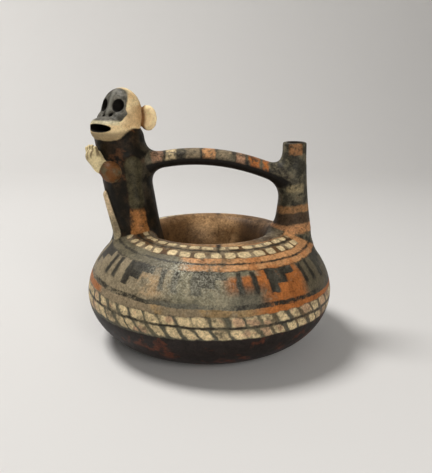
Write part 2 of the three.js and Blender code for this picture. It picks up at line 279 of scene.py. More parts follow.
def toHead(p):
    turn = math.radians(headForm["turnDeg"])
    q = p - headMiddle()
    forward = -q[:, 0] * math.sin(turn) - q[:, 1] * math.cos(turn)
    left = q[:, 0] * math.cos(turn) - q[:, 1] * math.sin(turn)
    return forward, left, q[:, 2]


def headDistance(p):
    f = headForm
    forward, left, up = toHead(p)
    halfDeep = np.where(forward > 0, f["front"], f["back"])
    skull = squareBallDistance(forward, left, up, halfDeep, f["side"], f["up"], f["squareness"])
    half = f["muzzleDepth"] / 2
    muzzle = squareBallDistance(
        forward - f["muzzleReach"] + half, left, up + f["muzzleDrop"],
        half, f["muzzleSide"], f["muzzleUp"], f["squareness"], f["muzzleTopSquareness"])
    half = f["cheekReach"] / 2
    cheeks = squareBallDistance(
        forward - half, left, up + f["cheekDrop"],
        half, f["cheekSide"], f["cheekUp"], f["cheekSquareness"], f["cheekTopSquareness"])
    half = f["noseReach"] / 2
    nose = ballDistance(forward - half, left, up + f["noseDrop"], half, f["noseSide"], f["noseUp"])
    head = unionOf(skull, muzzle, f["muzzleBlend"])
    return unionOf(unionOf(head, cheeks, f["cheekBlend"]), nose, f["noseBlend"])


def earDistance(p):
    f = earForm
    forward, left, up = toHead(p)
    side = np.abs(left) - headForm["side"] - f["radius"] + f["sink"]
    back = forward + f["back"]
    half = f["thickness"] / 2
    disc = ballDistance(back, side, up + f["drop"], half, f["radius"], f["radius"])
    dishSide, dishUp = f["radius"] * f["dishWide"], f["radius"] * f["dishHigh"]
    dish = ballDistance(back - half, side, up + f["drop"], f["dishDepth"], dishSide, dishUp)
    return cutFrom(disc, dish, f["rim"])


def faceCuts(p):
    f = faceForm
    forward, left, up = toHead(p)
    side = np.abs(left)
    eye = ballDistance(
        forward - f["eyeReach"], side - f["eyeSide"], up - f["eyeRise"],
        f["eyeDepth"], f["eyeRadius"], f["eyeRadius"])
    nostril = ballDistance(
        forward - f["nostrilReach"], side - f["nostrilSide"], up + f["nostrilDrop"],
        f["nostrilDepth"], f["nostrilRadius"], f["nostrilHigh"])
    mouth = ovalDistance(
        left, up + f["mouthDrop"], f["mouthSide"], f["mouthHeight"] / 2, f["mouthSquareness"])
    return eye, nostril, np.maximum(mouth, f["mouthBack"] - forward)


# The monkey's limbs: a place on the post is an angle, a rise above the ring and a depth below the surface

armForm = {
    "knob": (-24, 43, -0.6), "elbow": (-28, 43, -1), "wrist": (-44, 46.8, -3.2), "palm": (-49, 53.6, -5.8),
    "knobRadius": 7.2, "elbowRadius": 4.4, "wristRadius": 4.6, "palmRadius": 5.3, "blend": 1.5,
    "reach": (-0.2, -0.1, 1.0), "fingers": (-1.5, -0.5, 0.5, 1.5), "fingerGap": 2.9, "fingerLong": 7.2,
    "fingerRoot": 1.75, "fingerTip": 1.35, "fingerBlend": 0.3,
}
limbRelief = 2.6
limbForms = {
    "hangingArm": {"start": (27, 48), "end": (21, 22), "startRadius": 6.8, "endRadius": 6.2},
    "leftLeg": {"start": (20, 22), "end": (15, 2), "startRadius": 6.0, "endRadius": 7.0},
    "rightLeg": {"start": (-60, 26), "end": (-44, 0), "startRadius": 3.0, "endRadius": 4.8},
}


def onPost(angleDeg, rise, sunk):
    angle = math.radians(angleDeg - 90)
    z = ringForm["crestHeight"] + rise
    reach = postForm["radius"] - sunk
    return np.array([postX(z) + math.cos(angle) * reach, math.sin(angle) * reach, z])


def handAxes():
    reach = np.array(armForm["reach"]) / np.linalg.norm(armForm["reach"])
    turn = math.radians(headForm["turnDeg"])
    across = np.cross(reach, [-math.sin(turn), -math.cos(turn), 0])
    return reach, across / np.linalg.norm(across)


def raisedArmDistance(p):
    f = armForm
    elbow, wrist, palm = onPost(*f["elbow"]), onPost(*f["wrist"]), onPost(*f["palm"])
    arm = limbDistance(p, elbow, wrist, f["elbowRadius"], f["wristRadius"])
    arm = unionOf(arm, limbDistance(p, wrist, palm, f["wristRadius"], f["palmRadius"]), f["blend"])
    reach, across = handAxes()
    for place in f["fingers"]:
        root = palm + across * place * f["fingerGap"]
        tip = root + reach * (f["fingerLong"] - abs(place))
        arm = unionOf(arm, limbDistance(p, root, tip, f["fingerRoot"], f["fingerTip"]), f["fingerBlend"])
    return arm


def limbDistances(p):
    limbs = {}
    for name, limb in limbForms.items():
        start = onPost(*limb["start"], limb["startRadius"] - limbRelief)
        end = onPost(*limb["end"], limb["endRadius"] - limbRelief)
        limbs[name] = limbDistance(p, start, end, limb["startRadius"], limb["endRadius"])
    limbs["raisedArm"] = raisedArmDistance(p)
    limbs["elbow"] = np.linalg.norm(p - onPost(*armForm["knob"]), axis=1) - armForm["knobRadius"]
    return limbs


# The whole vase

monkeyBlends = {
    "hangingArm": 2.0, "leftLeg": 2.5, "rightLeg": 2.0, "raisedArm": 1.5, "elbow": 1.5, "head": 2.5, "ear": 1.6,
}
faceBlends = {"eye": 1.0, "nostril": 0.8, "mouth": 0.8}
hollowEdge = 0.6


def formParts(p):
    parts = {
        "ring": ringDistance(p), "spout": spoutDistance(p), "post": postDistance(p), "bridge": bridgeDistance(p),
        "head": headDistance(p), "ear": earDistance(p),
    }
    parts.update(limbDistances(p))
    parts["eye"], parts["nostril"], parts["mouth"] = faceCuts(p)
    return parts


def hollowDistance(p):  # the ring's chamber, the spout's bore and the hollow in the monkey
    f, wall, z = headForm, postForm["wall"], p[:, 2]
    chamber = ringDistance(p, ringForm["wall"])
    bore = np.maximum(spoutSide(p, spoutForm["lipWall"]), spoutForm["boreFoot"] - z)
    post = np.hypot(p[:, 0] - postX(z), p[:, 1]) - postForm["radius"] + wall
    post = np.maximum(post, np.maximum(postForm["boreFoot"] - z, z - postForm["boreTop"]))
    forward, left, up = toHead(p)
    halfDeep = np.where(forward > 0, f["front"], f["back"])
    skull = ballDistance(forward, left, up, halfDeep - wall, f["side"] - wall, f["up"] - wall)
    return np.minimum(np.minimum(chamber, bore), np.minimum(post, skull))


def vaseDistance(p):
    parts = formParts(p)
    body = unionOf(parts["ring"], parts["spout"], spoutForm["blend"])
    monkey = parts["post"]
    for name, blend in monkeyBlends.items():
        monkey = unionOf(monkey, parts[name], blend)
    body = unionOf(body, monkey, postForm["blend"])
    body = unionOf(body, parts["bridge"], bridgeForm["blend"])
    for name, blend in faceBlends.items():
        body = cutFrom(body, parts[name], blend)
    return cutFrom(body, hollowDistance(p), hollowEdge)


# The surface starts as an even mesh over the solid, and its points are then pulled onto the smooth form

surfaceForm = {
    "voxel": 0.8, "triangles": 190000,
    "roundsBefore": 4, "roundsAfter": 3, "probe": 0.12, "farthest": 1.2, "leastSlope": 0.3,
    "hiddenBelow": 84.0, "chamberDepth": -2.0, "chamberShare": 1.0, "ringShare": 0.25,
}


def pullToForm(points, rounds):
    f = surfaceForm
    for _ in range(rounds):
        level = vaseDistance(points)
        steps = f["probe"] * np.eye(3)
        rises = [vaseDistance(points + step) - vaseDistance(points - step) for step in steps]
        slope = np.stack(rises, 1) / (2 * f["probe"])
        size = np.maximum((slope**2).sum(1), f["leastSlope"])
        points = points - slope * np.clip(level / size, -f["farthest"], f["farthest"])[:, None]
    return points


def applyModifiers(target):
    depsgraph = bpy.context.evaluated_depsgraph_get()
    made = bpy.data.meshes.new_from_object(target.evaluated_get(depsgraph))
    target.modifiers.clear()
    target.data = made


def readPoints(mesh):
    flat = np.empty(len(mesh.vertices) * 3)
    mesh.vertices.foreach_get("co", flat)
    return flat.reshape(-1, 3) / mm


def writePoints(mesh, points):
    mesh.vertices.foreach_set("co", (points * mm).ravel())
    mesh.update()


def thinOut(vase):  # fewer triangles, taken first from the chamber's walls and then from the ring
    f = surfaceForm
    points = readPoints(vase.data)
    chamber = ringDistance(points) < f["chamberDepth"]
    low = points[:, 2] <= f["hiddenBelow"]
    hidden = vase.vertex_groups.new(name="hidden")
    hidden.add([int(i) for i in np.nonzero(chamber & low)[0]], f["chamberShare"], "REPLACE")
    hidden.add([int(i) for i in np.nonzero(~chamber & low)[0]], f["ringShare"], "REPLACE")
    decimate = vase.modifiers.new("decimate", "DECIMATE")
    faces = sum(len(p.vertices) - 2 for p in vase.data.polygons)
    decimate.ratio = min(1.0, f["triangles"] / faces)
    decimate.vertex_group = "hidden"
    decimate.vertex_group_factor = 1.0
    applyModifiers(vase)
    vase.vertex_groups.clear()


def buildVase():
    vase = bpy.data.objects.new("paintedVase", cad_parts["vase"].data.copy())
    bpy.context.scene.collection.objects.link(vase)
    remesh = vase.modifiers.new("remesh", "REMESH")
    remesh.mode = "VOXEL"
    remesh.voxel_size = surfaceForm["voxel"] * mm
    applyModifiers(vase)
    writePoints(vase.data, pullToForm(readPoints(vase.data), surfaceForm["roundsBefore"]))
    print("vase surface has", len(vase.data.vertices), "points")
    thinOut(vase)
    writePoints(vase.data, pullToForm(readPoints(vase.data), surfaceForm["roundsAfter"]))
    for polygon in vase.data.polygons:
        polygon.use_smooth = True
    print("vase has", len(vase.data.polygons), "faces")
    return vase


vase = buildVase()

# Distances kept on the surface let the paint follow the forms: each is above zero on its own form

handCover = 1.2  # how far the forearm reaches under the elbow's disc


def keepDistances(target):
    points = readPoints(target.data)
    parts = formParts(points)
    limbs = (*limbForms, "raisedArm", "elbow")
    torso = np.min([parts["post"]] + [parts[name] for name in limbs], axis=0)
    monkey = np.min([torso, parts["head"], parts["ear"]], axis=0)
    besideHead = np.min([torso, parts["ring"], parts["bridge"], parts["spout"]], axis=0)
    kept = {
        "onMonkey": parts["ring"] - monkey,
        "onSpout": parts["ring"] - parts["spout"],
        "onBridge": np.minimum(monkey, parts["spout"]) - parts["bridge"],
        "onHead": besideHead - np.minimum(parts["head"], parts["ear"]),
        "onEar": parts["head"] - parts["ear"],
        "eye": parts["eye"], "nostril": parts["nostril"], "mouth": parts["mouth"],
        "inside": hollowDistance(points),
    }
    for name in limbs:
        kept[name] = parts["post"] - parts[name]
    kept["elbow"] = np.minimum(parts["post"], parts["raisedArm"] + handCover) - parts["elbow"]
    for name, values in kept.items():
        layer = target.data.attributes.new(name, "FLOAT", "POINT")
        layer.data.foreach_set("value", np.clip(values, -20, 20).astype(np.float32))
    print("kept distances for", len(kept), "forms")


keepDistances(vase)

# Paint is written as arithmetic on fields, and each operation adds one node to the material


class Field:  # a number or a colour that changes over the surface
    def __init__(self, brush, socket):
        self.brush = brush
        self.socket = socket

    def __add__(self, other):
        return self.brush.math("ADD", self, other)

    def __sub__(self, other):
        return self.brush.math("SUBTRACT", self, other)

    def __rsub__(self, other):
        return self.brush.math("SUBTRACT", other, self)

    def __mul__(self, other):
        return self.brush.math("MULTIPLY", self, other)

    def __truediv__(self, other):
        return self.brush.math("DIVIDE", self, other)

    def __mod__(self, other):
        return self.brush.math("MODULO", self, other)

    def __pow__(self, other):
        return self.brush.math("POWER", self, other)

    def __abs__(self):
        return self.brush.math("ABSOLUTE", self)

    __radd__ = __add__
    __rmul__ = __mul__


class Brush:  # adds nodes to one node tree
    def __init__(self, tree):
        self.tree = tree

    def put(self, socket, value):
        if isinstance(value, Field):
            self.tree.links.new(value.socket, socket)
        else:
            socket.default_value = value

    def putColour(self, socket, colour):
        self.put(socket, colour if isinstance(colour, Field) else (*colour, 1))

    def math(self, operation, *values):
        node = self.tree.nodes.new("ShaderNodeMath")
        node.operation = operation
        for socket, value in zip(node.inputs, values):
            self.put(socket, value)
        return Field(self, node.outputs[0])

    def fade(self, value, low, high):  # 0 below low, 1 above high
        node = self.tree.nodes.new("ShaderNodeMapRange")
        node.interpolation_type = "SMOOTHSTEP"
        for name, given in (("Value", value), ("From Min", low), ("From Max", high)):
            self.put(node.inputs[name], given)
        return Field(self, node.outputs[0])

    def drop(self, value, low, high):  # 1 below low, 0 above high
        return 1 - self.fade(value, low, high)

    def band(self, value, middle, half, soft):  # 1 within half of the middle
        return self.drop(abs(value - middle), half - soft, half + soft)

    def either(self, *masks):
        result = masks[0]
        for mask in masks[1:]:
            result = self.math("MAXIMUM", result, mask)
        return result

    def blend(self, kind, share, under, over):
        node = self.tree.nodes.new("ShaderNodeMix")
        node.data_type = "RGBA"
        node.blend_type = kind
        node.clamp_factor = True
        self.put(node.inputs[0], share)
        self.putColour(node.inputs[6], under)
        self.putColour(node.inputs[7], over)
        return node

    def mix(self, share, under, over):
        return Field(self, self.blend("MIX", share, under, over).outputs[2])

    def tint(self, share, colour, factor):  # multiplies a colour by another where share is 1
        return Field(self, self.blend("MULTIPLY", share, colour, factor).outputs[2])

    def shade(self, colour, factor):  # multiplies a colour by a number that changes over the surface
        node = self.blend("MULTIPLY", 1, colour, factor)
        node.clamp_result = True
        return Field(self, node.outputs[2])

    def noise(self, place, size, detail, roughness, seed):  # size in millimetres
        node = self.tree.nodes.new("ShaderNodeTexNoise")
        node.noise_dimensions = "4D"
        given = {"Vector": place, "W": seed, "Scale": 1 / size, "Detail": detail, "Roughness": roughness}
        for name, value in given.items():
            self.put(node.inputs[name], value)
        return Field(self, node.outputs[0])

    def chance(self, value, seed):  # one random number for each whole value
        node = self.tree.nodes.new("ShaderNodeTexWhiteNoise")
        node.noise_dimensions = "1D"
        self.put(node.inputs["W"], self.math("FLOOR", value) + seed)
        return Field(self, node.outputs[0])

    def kept(self, name):
        node = self.tree.nodes.new("ShaderNodeAttribute")
        node.attribute_name = name
        return Field(self, node.outputs["Fac"])

    def place(self):  # millimetres in the vase's own frame
        coordinates = self.tree.nodes.new("ShaderNodeTexCoord")
        scale = self.tree.nodes.new("ShaderNodeVectorMath")
        scale.operation = "SCALE"
        scale.inputs["Scale"].default_value = 1 / mm
        self.tree.links.new(coordinates.outputs["Object"], scale.inputs[0])
        return Field(self, scale.outputs[0])

    def join(self, x, y, z):
        node = self.tree.nodes.new("ShaderNodeCombineXYZ")
        for socket, value in zip(node.inputs, (x, y, z)):
            self.put(socket, value)
        return Field(self, node.outputs[0])

    def split(self, place):
        node = self.tree.nodes.new("ShaderNodeSeparateXYZ")
        self.put(node.inputs[0], place)
        return [Field(self, node.outputs[i]) for i in range(3)]


slipAndLight = {  # the potter's colours, with a painted highlight colour and a painted shade colour among them
    "cream": (0.62, 0.48, 0.27), "creamWorn": (0.37, 0.28, 0.16), "creamPink": (0.44, 0.25, 0.15),
    "pink": (0.38, 0.215, 0.125),
    "orange": (0.50, 0.25, 0.105), "deepOrange": (0.37, 0.125, 0.033), "paleOrange": (0.40, 0.26, 0.13),
    "tan": (0.235, 0.18, 0.11), "ochre": (0.29, 0.19, 0.085), "brown": (0.10, 0.052, 0.022),
    "greenGrey": (0.185, 0.165, 0.105), "paleGreen": (0.26, 0.225, 0.145), "mossGrey": (0.19, 0.165, 0.105),
    "umber": (0.125, 0.104, 0.062), "darkUmber": (0.095, 0.075, 0.045), "stain": (0.085, 0.072, 0.042),
    "shadeBlack": (0.011, 0.009, 0.007), "dark": (0.032, 0.027, 0.019), "greyDark": (0.075, 0.068, 0.05),
    "greyWorn": (0.125, 0.115, 0.085), "glint": (0.72, 0.69, 0.54),
    "gapGrey": (0.085, 0.08, 0.058), "gapOlive": (0.12, 0.105, 0.066), "gapBrown": (0.13, 0.085, 0.045),
    "underBlack": (0.018, 0.013, 0.011), "underRed": (0.085, 0.026, 0.013),
    "holeBrown": (0.13, 0.066, 0.025), "holeTan": (0.44, 0.26, 0.12), "holeDark": (0.035, 0.018, 0.008),
    "rimPale": (0.27, 0.22, 0.14), "rimBrown": (0.20, 0.115, 0.055),
}

# The ring's paint: azimuth is 0 at the front and rises towards the spout, section is the angle around the
# clay's own section, 90 at the crest. Both are in degrees, and the back mirrors the front.

bandPlan = {  # section angle at the front, and how much it changes per degree of azimuth
    "rowInner": (81.4, -0.09), "lineA": (76.3, -0.07), "rowOuter": (70.0, -0.06), "lineB": (59.5, -0.07),
    "friezeTop": (51.8, -0.06), "lineC": (19.8, -0.06), "lineLow": (11.8, -0.03), "lineD": (2.8, -0.05),
    "lowEdge": (-8.6, -0.01),
}
friezePlan = {
    "period": 36.6, "first": -8.4, "blockWide": 17.5, "stepBack": 6.2, "stepDown": 7.6, "steps": 3,
    "bars": (23.0, 30.0), "barHalf": 1.5, "barLong": 22.0,
}
rowPlan = {  # rows of marks: where each lies, the degrees between marks, the share filled, and the marks' shape
    "outer": {
        "at": ("rowOuter", 0.0), "pitch": 9.2, "start": -0.8, "fill": 0.70,
        "half": 3.4, "lean": 0.0, "seed": 23.0, "squareness": 4.0, "edge": 0.84},
    "inner": {
        "at": ("rowInner", 0.0), "pitch": 9.2, "start": 3.8, "fill": 0.74,
        "half": 2.4, "lean": 0.0, "seed": 31.0, "squareness": 4.0, "edge": 0.84},
    "upper": {
        "at": ("lineLow", -4.4), "pitch": 7.0, "start": 0.6, "fill": 0.80,
        "half": 4.4, "lean": -0.26, "seed": 3.0, "squareness": 5.0, "edge": 0.72},
    "lower": {
        "at": ("lineD", -6.0), "pitch": 6.4, "start": 2.1, "fill": 0.80,
        "half": 4.9, "lean": -0.34, "seed": 11.0, "squareness": 5.0, "edge": 0.72},
}
markSpread = {"shift": 0.18, "width": 0.3, "widthSeed": 40.5, "edge": 1.14}  # how unevenly the marks are painted


class RingPainter:
    def __init__(self, brush, place):
        self.brush = brush
        self.point = place
        self.x, self.y, self.z = brush.split(place)
        self.radius = (self.x * self.x + self.y * self.y) ** 0.5
        degrees = 180 / math.pi
        turn = brush.math("ARCTAN2", self.x, abs(self.y)) * degrees
        self.azimuth = turn + (self.wander(9, 3.4, 3) + self.wander(2.4, 1.5, 4))
        rise, out = self.z - ringForm["bellyHeight"], self.radius - ringForm["crest"]
        self.section = brush.math("ARCTAN2", rise, out) * degrees
        self.section = self.section + (self.wander(11, 3.8, 17) + self.wander(2.4, 2.0, 18))
        self.patch = brush.noise(place, 13, 4, 0.6, 9)
        self.broad = brush.noise(place, 38, 3, 0.5, 21)
        self.worn = brush.noise(place, 1.9, 4, 0.75, 5) * 0.5 + self.patch * 0.5
        self.toRight = brush.fade(self.azimuth + (self.broad - 0.5) * 30, -20, -11)

    def wander(self, size, width, seed):  # makes a painted edge run unevenly
        return (self.brush.noise(self.point, size, 2, 0.5, seed) - 0.5) * width

    def above(self, name, offset=0.0):  # how far a point is above one of the painted rings
        level, lean = bandPlan[name]
        return self.section - (self.azimuth * lean + (level + offset))

    def line(self, name, half):
        return self.brush.band(self.above(name), 0, half, 0.7)

    def wear(self, low, high, most):  # what is left of the paint where it is rubbed
        return 1 - self.brush.fade(self.worn, low, high) * most

    def marks(self, name):
        brush, row = self.brush, rowPlan[name]
        middle = self.above(*row["at"])
        cell = (self.azimuth - row["start"] - middle * row["lean"]) / row["pitch"]
        across = (brush.math("FRACT", cell) - 0.5) * row["pitch"]
        across = across + (brush.chance(cell, row["seed"]) - 0.5) * (row["pitch"] * markSpread["shift"])
        uneven = brush.chance(cell, row["seed"] + markSpread["widthSeed"]) * markSpread["width"]
        wide = (uneven + (row["fill"] - markSpread["width"] / 2)) * (row["pitch"] / 2)
        power = row["squareness"]
        size = (abs(across) / wide) ** power + (abs(middle) / row["half"]) ** power
        return brush.drop(size ** (1 / power), row["edge"], markSpread["edge"])

    def darkPaint(self):
        brush = self.brush
        rubbedHere = brush.fade(self.azimuth, -30, -16) * brush.drop(self.azimuth, 7, 15)
        dark = brush.mix(brush.fade(self.patch, 0.45, 0.65), slipAndLight["dark"], slipAndLight["greyDark"])
        return brush.mix(rubbedHere * brush.fade(self.broad, 0.35, 0.6), dark, slipAndLight["greyWorn"])

    def ground(self):  # grey-green on the left, orange on the right, and stained
        brush, azimuth = self.brush, self.azimuth
        left = brush.mix(brush.drop(azimuth, -30, -10), slipAndLight["greenGrey"], slipAndLight["umber"])
        colour = brush.mix(self.toRight, left, slipAndLight["orange"])
        patchColour = brush.mix(self.toRight, slipAndLight["mossGrey"], slipAndLight["deepOrange"])
        colour = brush.mix(brush.fade(self.patch, 0.5, 0.62) * 0.6, colour, patchColour)
        stained = brush.fade(brush.noise(self.point, 7, 4, 0.65, 97), 0.5, 0.62) * brush.drop(azimuth, 5, 25)
        return brush.mix(stained * 0.7, colour, slipAndLight["stain"])

    def friezeGround(self, down):
        brush, azimuth = self.brush, self.azimuth
        rightPatch = brush.fade(azimuth, 21, 28) * brush.drop(azimuth, 45, 52)
        upperPatch = brush.fade(azimuth, 4, 14) * brush.drop(azimuth, 46, 54)
        upperPatch = upperPatch * brush.fade(down, 3, 7) * brush.drop(down, 16, 24)
        orange = brush.either(rightPatch, upperPatch) * brush.fade(self.worn, 0.36, 0.46)
        warm = brush.band(azimuth, -28, 6, 3) * brush.band(down, 18, 9, 4)
        warm = warm * brush.fade(self.patch, 0.38, 0.52)
        colour = brush.mix(brush.fade(self.patch, 0.42, 0.6), slipAndLight["greenGrey"], slipAndLight["paleGreen"])
        colour = brush.mix(brush.drop(azimuth, -24, -12) * 0.7, colour, slipAndLight["tan"])
        colour = brush.mix(warm * 0.8, colour, slipAndLight["paleOrange"])
        colour = brush.mix(brush.fade(azimuth, 42, 50) * 0.85, colour, slipAndLight["darkUmber"])
        return brush.mix(orange, colour, slipAndLight["deepOrange"])

    def friezeDrawing(self, down):  # a stepped block and two bars, over and over
        brush, plan = self.brush, friezePlan
        unit = (self.azimuth - plan["first"] + plan["period"] * 4) % plan["period"]
        wide = plan["blockWide"] - brush.math("FLOOR", down / plan["stepDown"]) * plan["stepBack"]
        foot = plan["stepDown"] * plan["steps"]
        block = brush.drop(unit - wide, -0.7, 0.7) * brush.fade(unit, -0.1, 1.1)
        block = block * brush.drop(down, foot - 0.8, foot + 0.8) * brush.fade(down, -0.2, 0.6)
        bars = brush.either(*[brush.band(unit, side, plan["barHalf"], 0.7) for side in plan["bars"]])
        bars = bars * brush.fade(down, 0.4, 1.6) * brush.drop(down, plan["barLong"] - 2, plan["barLong"] + 2)
        return brush.either(block, bars) * self.wear(0.56, 0.68, 0.7)

    def frieze(self, colour):
        brush, azimuth, patch = self.brush, self.azimuth, self.patch
        within = brush.drop(self.above("friezeTop"), -0.5, 0.5)
        down = self.above("friezeTop") * -1
        colour = brush.mix(within, colour, self.friezeGround(down))
        smear = brush.band(azimuth, 19, 8, 5) * brush.band(down, 27, 13, 5) * brush.fade(patch, 0.34, 0.46)
        soot = brush.band(azimuth, -16, 8, 4) * brush.band(self.above("lineC"), 0, 4, 2)
        soot = soot * brush.fade(patch, 0.38, 0.52)
        strokes = brush.noise(brush.join(azimuth / 3.2, self.section / 16, 0), 1, 3, 0.55, 95)
        strokes = brush.fade(strokes, 0.54, 0.63) * within * 0.62
        strokes = strokes * brush.band(azimuth, -2, 22, 6) * brush.band(down, 17, 14, 4)
        colour = brush.mix(brush.either(smear, strokes) * 0.72, colour, slipAndLight["greyDark"])
        colour = brush.mix(soot * 0.9, colour, slipAndLight["dark"])
        return brush.mix(self.friezeDrawing(down), colour, self.darkPaint())

    def lowerBands(self, colour):
        brush, azimuth, patch = self.brush, self.azimuth, self.patch
        colour = brush.mix(self.line("lineC", 2.1) * self.wear(0.46, 0.58, 0.85), colour, self.darkPaint())
        low = brush.fade(azimuth, -34, -20) * brush.fade(patch, 0.40, 0.54)
        low = brush.mix(low, slipAndLight["tan"], slipAndLight["ochre"])
        low = brush.mix(brush.fade(azimuth, 14, 28), low, slipAndLight["deepOrange"])
        colour = brush.mix(brush.drop(self.above("lineC"), -2.4, -1.6), colour, low)
        gap = brush.mix(brush.fade(azimuth, 15, 40), slipAndLight["gapOlive"], slipAndLight["gapBrown"])
        gap = brush.mix(brush.fade(patch, 0.42, 0.58), slipAndLight["gapGrey"], gap)
        colour = brush.mix(brush.drop(self.above("lineLow"), -0.5, 0.5), colour, gap)
        colour = brush.mix(self.line("lineLow", 0.7) * self.wear(0.40, 0.52, 0.9) * 0.7, colour, slipAndLight["dark"])
        farLeft = brush.drop(azimuth, -60, -54) * brush.fade(self.above("lineLow"), 0.5, 2.0)
        farLeft = farLeft * brush.drop(self.above("lineC"), -3, -1.6)
        return brush.mix(farLeft * 0.9, colour, slipAndLight["deepOrange"])

    def lowerRows(self, colour):
        brush, patch = self.brush, self.patch
        pinkish = brush.fade(brush.noise(self.point, 11, 2, 0.5, 93), 0.52, 0.6) * 0.7
        cream = brush.mix(brush.fade(patch, 0.46, 0.7), slipAndLight["cream"], slipAndLight["creamWorn"])
        cream = brush.mix(pinkish, cream, slipAndLight["creamPink"])
        rows = brush.either(self.marks("upper"), self.marks("lower")) * self.wear(0.48, 0.62, 0.75)
        colour = brush.mix(rows, colour, cream)
        colour = brush.mix(self.line("lineD", 1.1) * self.wear(0.46, 0.6, 0.7), colour, slipAndLight["dark"])
        under = brush.mix(brush.fade(patch, 0.53, 0.62), slipAndLight["underBlack"], slipAndLight["underRed"])
        return brush.mix(brush.drop(self.above("lowEdge"), -0.8, 0.8), colour, under)

    def upperRows(self, colour):
        brush = self.brush
        top = self.line("friezeTop", 0.8) * self.wear(0.45, 0.6, 0.8) * 0.85
        colour = brush.mix(top, colour, slipAndLight["dark"])
        colour = brush.mix(self.line("lineB", 1.1) * self.wear(0.46, 0.62, 0.7), colour, slipAndLight["dark"])
        reach = brush.drop(abs(self.azimuth), 70, 72)
        within = brush.fade(self.above("rowOuter", -4.2), -0.5, 0.7) * reach
        within = within * brush.drop(self.above("rowInner", 3.2), -0.5, 0.7)
        ground = brush.mix(brush.fade(self.patch, 0.42, 0.6), slipAndLight["brown"], slipAndLight["tan"])
        colour = brush.mix(within, colour, ground)
        rows = brush.either(self.marks("outer"), self.marks("inner")) * reach * self.wear(0.50, 0.64, 0.7)
        colour = brush.mix(rows, colour, slipAndLight["cream"])
        return brush.mix(self.line("lineA", 1.1) * reach * self.wear(0.48, 0.62, 0.6), colour, slipAndLight["dark"])

    def paintedShoulderHighlight(self, colour):  # a painted highlight: pale sparkle on the shoulder where the light is reflected
        brush, azimuth, section = self.brush, self.azimuth, self.section
        highlightSpeckle = brush.fade(brush.noise(self.point, 1.2, 3, 0.8, 91), 0.44, 0.6)
        wide = brush.band(azimuth, -10, 20, 13) * brush.band(section, 45, 17, 10) * 0.24
        close = brush.band(azimuth, -13, 6, 5) * brush.band(section, 54, 8, 6) * 0.6
        return brush.mix(brush.either(wide, close) * highlightSpeckle, colour, slipAndLight["glint"])

    def hole(self, colour):
        brush, azimuth = self.brush, self.azimuth
        overRim = brush.fade(self.above("rowInner", 3.8), -0.8, 1.2)
        within = brush.either(overRim, brush.drop(self.radius - ringForm["crest"], -1, 1))
        lit = brush.band(azimuth, 6, 26, 14) * brush.fade(self.z, 40, 62)
        lit = lit * brush.fade(brush.noise(self.point, 26, 4, 0.6, 33), 0.36, 0.56)
        clay = brush.mix(lit, slipAndLight["holeBrown"], slipAndLight["holeTan"])
        clay = brush.mix(brush.fade(azimuth, 26, 48) * 0.85, clay, slipAndLight["holeDark"])
        stained = brush.fade(brush.noise(self.point, 9, 4, 0.65, 37), 0.54, 0.7) * 0.6
        clay = brush.mix(stained, clay, slipAndLight["brown"])
        nearRim = brush.fade(self.z, 75, 78.5) * brush.fade(self.worn, 0.42, 0.56) * 0.7
        paleSide = brush.fade(abs(azimuth), 34, 52) * brush.drop(self.y, -8, 4)
        clay = brush.mix(nearRim, clay, brush.mix(paleSide, slipAndLight["rimBrown"], slipAndLight["rimPale"]))
        return brush.mix(within, colour, clay)


def paintRing(brush, place):
    painter = RingPainter(brush, place)
    colour = painter.frieze(painter.ground())
    colour = painter.lowerRows(painter.lowerBands(colour))
    return painter.hole(painter.paintedShoulderHighlight(painter.upperRows(colour)))


# The spout's paint: bands across it, each with the height of its middle and its half height

spoutSlip = {"dark": (0.04, 0.036, 0.025), "green": (0.15, 0.13, 0.082)}
spoutBands = (
    {"middle": 137, "half": 3.6, "reach": 4.5, "rubbed": True, "colour": (0.30, 0.145, 0.06)},
    {"middle": 110.5, "half": 2.8, "reach": 6.0, "rubbed": True, "colour": (0.25, 0.20, 0.11)},
    {"middle": 95.3, "half": 2.8, "reach": None, "rubbed": True, "colour": (0.33, 0.17, 0.07)},
    {"middle": 88.6, "half": 3.8, "reach": None, "rubbed": False, "colour": (0.07, 0.042, 0.024)},
    {"middle": 81.6, "half": 3.2, "reach": None, "rubbed": True, "colour": (0.52, 0.25, 0.105)},
)


def paintSpout(brush, place, ringColour):
    x, y, z = brush.split(place)
    patch = brush.noise(place, 8, 4, 0.65, 45)
    aside = x - spoutForm["x"]
    slanting = z + aside * -0.08 + (brush.noise(place, 9, 3, 0.6, 49) - 0.5) * 5
    left = 1 - brush.fade(brush.noise(place, 2.2, 4, 0.7, 46), 0.48, 0.64) * 0.65
    colour = brush.mix(brush.fade(patch, 0.42, 0.62), spoutSlip["dark"], spoutSlip["green"])
    colour = brush.mix(brush.fade(patch, 0.56, 0.66) * 0.5, colour, slipAndLight["brown"])
    for stripe in spoutBands:
        share = brush.band(slanting, stripe["middle"], stripe["half"], 1.0) * (left if stripe["rubbed"] else 0.9)
        if stripe["reach"]:
            share = share * brush.drop(abs(aside), stripe["reach"] - 1, stripe["reach"] + 1)
        colour = brush.mix(share, colour, stripe["colour"])
    return brush.mix(brush.fade(brush.kept("onSpout"), -1.5, 0.5), ringColour, colour)


# The bridge's paint: patches along its top, each with its middle, its half length and its colour

bridgeSpots = (
    (-36, 3.2, "pink"), (-26.5, 4.0, "cream"), (-11, 4.6, "tan"), (0, 4.0, "orange"),
    (11, 4.6, "tan"), (22, 3.0, "pink"), (31, 3.4, "deepOrange"), (39, 2.4, "deepOrange"),
)
bridgeGreen = (0.13, 0.11, 0.07)
bridgeShadeEdge = {"from": -42, "long": 94, "fall": 10, "arch": 34}  # the line where the top's paint ends and the underside's painted shade begins
